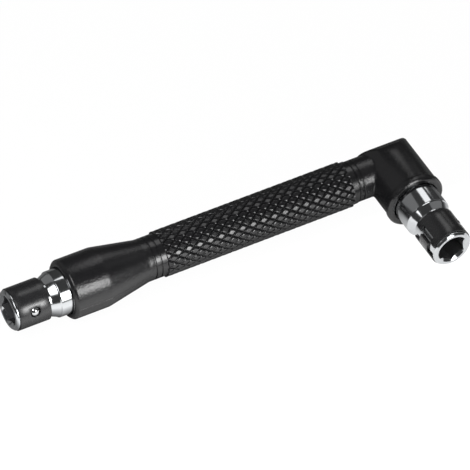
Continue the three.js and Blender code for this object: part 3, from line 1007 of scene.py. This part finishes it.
def arm_shape(sizes, moulding):
    """The short arm about Z, closed by a back that is round about X."""
    edge = sizes.rounding
    front = -sizes.arm_length
    shape = turn([
        (0, front, 0),
        (sizes.rim_radius - sizes.rim_chamfer, front, edge),
        (sizes.rim_radius, front + sizes.rim_chamfer, edge),
        (sizes.rim_radius, front + sizes.rim_length, edge),
        (sizes.arm_radius, front + sizes.rim_length + sizes.rim_blend, edge),
        (sizes.arm_radius, sizes.back - sizes.arm_radius, 0),
    ])
    mitre = [item for item in shape.edges if item.is_boundary]
    for vert in {vert for item in mitre for vert in item.verts}:
        vert.co.z += abs(vert.co.x)
    bmesh.ops.contextual_create(shape, geom=mitre)
    right = [vert for vert in {vert for item in mitre for vert in item.verts} if vert.co.x > WELD]
    left = [vert for vert in {vert for item in mitre for vert in item.verts} if vert.co.x < -WELD]
    for vert in right:
        other = min(left, key=lambda item: abs(item.co.y - vert.co.y))
        shared = [face for face in vert.link_faces if other in face.verts]
        bmesh.utils.face_split(shared[0], vert, other)
    tidy(shape)
    corner = [item for item in mitre if item.is_valid and item.calc_face_angle(0) > CRISP_ANGLE]
    bmesh.ops.bevel(shape, geom=corner, offset=sizes.corner_rounding, offset_type='OFFSET',
                    segments=CORNER_STEPS, profile=0.5, affect='EDGES', clamp_overlap=False,
                    material=-1)
    raise_parting(shape, moulding, sizes.neck_radius)
    return shape


def neck_shape(sizes, moulding, front, seam):
    """The neck about Z, from its front end to inside the arm, with its ring groove and its flare."""
    edge = sizes.neck_edge
    radius = sizes.neck_radius
    ring = front + sizes.neck_ring
    fillet = sizes.saddle_rounding
    foot = -sizes.arm_radius - fillet
    arc = [FLARE_ARC * step / FLARE_STEPS for step in range(FLARE_STEPS + 1)]
    flare = [(radius + fillet * (1 - math.cos(angle)), foot + fillet * math.sin(angle), 0)
             for angle in arc]
    # A spigot fills the seam behind the grip, so it reads as a groove
    spigot = radius - moulding.ring_depth
    spigot_end = front - seam + moulding.seam_play
    sunk = flare[-1][1] + fillet / math.tan(FLARE_ARC) + sizes.neck_sink
    shape = turn([
        (0, spigot_end, 0),
        (spigot, spigot_end, 0),
        (spigot, front, 0),
        (radius - edge, front, 0),
        (radius, front + edge, 0),
        (radius, ring - edge, 0),
        (radius - edge, ring, 0),
        (radius - moulding.ring_depth, ring, 0),
        (radius - moulding.ring_depth, ring + moulding.ring_width, 0),
        (radius - edge, ring + moulding.ring_width, 0),
        (radius, ring + moulding.ring_width + edge, 0),
        *flare,
        (radius + fillet, sunk, 0),
        (0, sunk, 0),
    ])
    raise_parting(shape, moulding, radius - WELD)
    for vert in shape.verts:
        around = vert.co.xy.length
        if around > radius:
            # The flare fades out towards the back of the elbow, which is level with the neck
            share = min(max((sizes.flare_end + vert.co.x) / sizes.flare_fade, 0), 1)
            vert.co.xy *= (radius + (around - radius) * share) / around
        if vert.co.z > foot - WELD:
            vert.co.z += sizes.arm_radius - math.sqrt(sizes.arm_radius ** 2 - vert.co.y ** 2)
    return shape


def elbow_pocket(sizes, socket, moulding):
    """What the socket's collar, tail and stub take up in the arm, about Z."""
    front = -sizes.arm_length
    collar = socket.collar_radius + moulding.fit
    collar_end = front + socket.collar_seat + moulding.fit
    tail_flats = socket.tail_flats + 2 * moulding.fit
    tail_end = collar_end + socket.elbow_tail
    stub = socket.stub_radius + moulding.fit
    stub_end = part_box("elbow_socket")[1].y - elbow_corner().y + moulding.fit
    shape = turn([
        (0, front - PAST, 0),
        (collar + sizes.rounding + PAST, front - PAST, 0),
        (collar, front + sizes.rounding, 0),
        (collar, collar_end, 0),
        (tail_flats / 2, collar_end, 0),
        (tail_flats / 2, tail_end, 0),
        (stub, tail_end, 0),
        (stub, stub_end, 0),
        (0, stub_end, 0),
    ])
    press_hex(shape, tail_flats, collar_end, tail_end)
    return shape


class BITDRIVER_OT_elbow(Operator):
    """Model the moulded neck, elbow and short arm."""

    bl_idname = "bit_driver.elbow"
    bl_label = "Elbow"

    def execute(self, context):
        settings = context.scene.bit_driver
        sizes = settings.elbow
        moulding = settings.moulding
        corner = elbow_corner()
        neck_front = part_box("elbow_housing")[0].x
        along_arm = Matrix.Translation(corner) @ Matrix.Rotation(-math.pi / 2, 4, 'X')
        shape = arm_shape(sizes, moulding)
        shape.transform(along_arm)
        seam = neck_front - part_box("grip_sleeve")[1].x
        neck = neck_shape(sizes, moulding, neck_front - corner.x, seam)
        neck.transform(along_handle(corner.x))
        shape = combine(shape, neck, 'UNION')
        pocket = elbow_pocket(sizes, settings.socket, moulding)
        pocket.transform(along_arm)
        shape = combine(shape, pocket, 'DIFFERENCE')
        bore = turn([(0, neck_front - corner.x - PAST, 0),
                     (moulding.rod_bore, neck_front - corner.x - PAST, 0),
                     (moulding.rod_bore, 0, 0),
                     (0, 0, 0)])
        bore.transform(along_handle(corner.x))
        shape = combine(shape, bore, 'DIFFERENCE')
        piece = finish_piece("elbow_moulding", shape, "elbow_housing",
                             [moulded_black_plastic()])
        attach(piece, "driver")
        return {'FINISHED'}


class BITDRIVER_OT_core(Operator):
    """Give the hidden core rod its drawn steel."""

    bl_idname = "bit_driver.core"
    bl_label = "Core rod"

    def execute(self, context):
        rod = frame["nodes"]["core_rod"]
        rod.data.materials.clear()
        rod.data.materials.append(drawn_steel())
        return {'FINISHED'}


# Studio

def direction(azimuth, elevation):
    """The way from the tool to something that stands at an azimuth and elevation."""
    level = math.cos(elevation)
    return Vector((math.sin(azimuth) * level, -math.cos(azimuth) * level, math.sin(elevation)))


def add_light(name, target, distance, angles, size, brightness, spread=math.pi):
    """Adds a softbox at an azimuth and elevation, as wide and high as two angles from its target."""
    light = bpy.data.lights.new(name, 'AREA')
    light.shape = 'RECTANGLE'
    light.size, light.size_y = (2 * distance * math.tan(side / 2) for side in size)
    light.energy = brightness * math.pi * light.size * light.size_y
    if spread < math.pi:
        # A gridded light keeps its power in a narrower beam, so it would grow brighter
        light.spread = spread
        light.energy *= 1 - (spread / 2) / math.tan(spread / 2)
    holder = bpy.data.objects.new(name, light)
    way = direction(*angles)
    holder.location = target + way * distance
    holder.rotation_euler = way.to_track_quat('Z', 'Y').to_euler()
    holder.visible_camera = False
    bpy.context.scene.collection.objects.link(holder)
    return holder


def add_floor(studio, looks):
    """Adds the floor under the tool: a white sheet of paper, with painted shade on the floor around it."""
    shape = bmesh.new()
    bmesh.ops.create_grid(shape, x_segments=1, y_segments=1, size=studio.floor_reach)
    mesh = bpy.data.meshes.new("studio_floor")
    shape.to_mesh(mesh)
    shape.free()
    floor = bpy.data.objects.new("studio_floor", mesh)
    # Matt paper and the painted shade around it, burnt out to white for the camera, so only reflections tell them
    # apart
    material, tree, paper, place = new_finish("matt_white_paper")
    across = add_node(tree, 'ShaderNodeSeparateXYZ', {"Vector": place}).outputs["Y"]
    middle = (studio.sheet_front + studio.sheet_back) / 2
    half = (studio.sheet_back - studio.sheet_front) / 2
    from_middle = add_node(tree, 'ShaderNodeMath', {0: across, 1: middle}, operation='SUBTRACT')
    out = add_node(tree, 'ShaderNodeMath', {0: from_middle.outputs["Value"]}, operation='ABSOLUTE')
    # Painted shade on the floor past the sheet's edges, fading in across the sheet's fade
    in_painted_shade = add_node(tree, 'ShaderNodeMapRange',
                        {"Value": out.outputs["Value"], "From Min": half - studio.sheet_fade / 2,
                         "From Max": half + studio.sheet_fade / 2})
    tone = add_node(tree, 'ShaderNodeMix',
                    {"Factor": in_painted_shade.outputs["Result"], "A": (*looks.sheet, 1),
                     "B": (*looks.table, 1)}, data_type='RGBA')
    fill_inputs(tree, paper, {"Base Color": tone.outputs["Result"], "Roughness": 0.9,
                              "Specular IOR Level": 0})
    white = add_node(tree, 'ShaderNodeEmission', {"Strength": studio.floor_white})
    path = add_node(tree, 'ShaderNodeLightPath', {})
    burnt = add_node(tree, 'ShaderNodeMapRange',
                     {"Value": path.outputs["Is Camera Ray"], "To Max": 1 - studio.floor_shadow})
    mix = add_node(tree, 'ShaderNodeMixShader', {"Fac": burnt.outputs["Result"]})
    tree.links.new(paper.outputs["BSDF"], mix.inputs[1])
    tree.links.new(white.outputs["Emission"], mix.inputs[2])
    tree.links.new(mix.outputs["Shader"], tree.nodes["Material Output"].inputs["Surface"])
    mesh.materials.append(material)
    bpy.context.scene.collection.objects.link(floor)


def add_room(studio):
    """Makes the room dark in reflections, with a pale backdrop behind the floor."""
    world = bpy.data.worlds.new("studio_room")
    world.use_nodes = True
    tree = world.node_tree
    path = add_node(tree, 'ShaderNodeLightPath', {})
    level = add_node(tree, 'ShaderNodeMapRange',
                     {"Value": path.outputs["Is Camera Ray"], "To Min": studio.shade,
                      "To Max": studio.backdrop})
    tree.links.new(level.outputs["Result"], tree.nodes["Background"].inputs["Color"])
    bpy.context.scene.world = world


class BITDRIVER_OT_studio(Operator):
    """Set up the floor, the softboxes and the camera."""

    bl_idname = "bit_driver.studio"
    bl_label = "Studio"

    def execute(self, context):
        settings = context.scene.bit_driver
        studio = settings.studio
        aim = Vector((studio.aim_x, studio.aim_y, studio.aim_z))
        add_floor(studio, settings.looks)
        add_room(studio)
        far = studio.light_distance
        add_light("key_softbox", aim, far, studio.key_place, studio.key_size, studio.key)
        add_light("key_core", aim, far, studio.core_place, studio.core_size, studio.core)
        add_light("rear_softbox", aim, far, studio.rear_place, studio.rear_size, studio.rear)
        add_light("rear_strip", aim, far, studio.strip_place, studio.strip_size, studio.strip)
        add_light("left_wall", aim, far, studio.left_place, studio.left_size, studio.wall)
        add_light("right_wall", aim, far, studio.right_place, studio.right_size, studio.wall)
        low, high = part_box("front_socket")
        add_light("side_softbox", (low + high) / 2, studio.side_distance, studio.side_place,
                  studio.side_size, studio.side, studio.side_spread)
        # The wash lights the floor, and the tool doesn't mirror it
        wash = add_light("floor_wash", aim, far, studio.wash_place, studio.wash_size, studio.wash)
        wash.visible_glossy = False
        camera = bpy.data.cameras.new("photo_camera")
        camera.lens = studio.lens
        holder = bpy.data.objects.new("photo_camera", camera)
        holder.matrix_world = (
            Matrix.Translation(aim + direction(studio.azimuth, studio.elevation) * studio.distance)
            @ Matrix.Rotation(studio.azimuth, 4, 'Z')
            @ Matrix.Rotation(math.pi / 2 - studio.elevation, 4, 'X')
            @ Matrix.Rotation(studio.roll, 4, 'Z')
        )
        context.scene.collection.objects.link(holder)
        context.scene.camera = holder
        context.scene.view_settings.view_transform = 'Standard'
        return {'FINISHED'}


MAKERS = (
    BITDRIVER_OT_sockets,
    BITDRIVER_OT_clips,
    BITDRIVER_OT_balls,
    BITDRIVER_OT_nose,
    BITDRIVER_OT_grip,
    BITDRIVER_OT_elbow,
    BITDRIVER_OT_core,
    BITDRIVER_OT_studio,
)


class BITDRIVER_PT_sidebar(Panel):
    """The pieces of the bit driver and their sizes."""

    bl_idname = "BITDRIVER_PT_sidebar"
    bl_label = "Bit driver"
    bl_space_type = 'VIEW_3D'
    bl_region_type = 'UI'
    bl_category = "Bit driver"

    def draw(self, context):
        settings = context.scene.bit_driver
        for maker in MAKERS:
            self.layout.operator(maker.bl_idname)
        for group in settings.bl_rna.properties:
            if group.type == 'POINTER' and group.identifier != "rna_type":
                box = self.layout.box()
                box.label(text=group.name)
                sizes = getattr(settings, group.identifier)
                for size in sizes.bl_rna.properties:
                    if size.identifier not in {"rna_type", "name"}:
                        box.prop(sizes, size.identifier)


CLASSES = (
    SocketSizes,
    ClipSizes,
    NoseSizes,
    GripSizes,
    ElbowSizes,
    MouldingSizes,
    FinishLooks,
    StudioSettings,
    DriverSettings,
    *MAKERS,
    BITDRIVER_PT_sidebar,
)


def register():
    """Registers the classes and the scene's settings."""
    for item in CLASSES:
        bpy.utils.register_class(item)
    bpy.types.Scene.bit_driver = PointerProperty(type=DriverSettings, name="Bit driver",
                                                 description="Sizes and looks of the bit driver")


def unregister():
    """Removes the settings and the classes."""
    del bpy.types.Scene.bit_driver
    for item in reversed(CLASSES):
        bpy.utils.unregister_class(item)


def main():
    """Makes every piece and the studio."""
    register()
    bpy.ops.bit_driver.sockets()
    bpy.ops.bit_driver.clips()
    bpy.ops.bit_driver.balls()
    bpy.ops.bit_driver.nose()
    bpy.ops.bit_driver.grip()
    bpy.ops.bit_driver.elbow()
    bpy.ops.bit_driver.core()
    bpy.ops.bit_driver.studio()


if __name__ == "__main__":
    main()
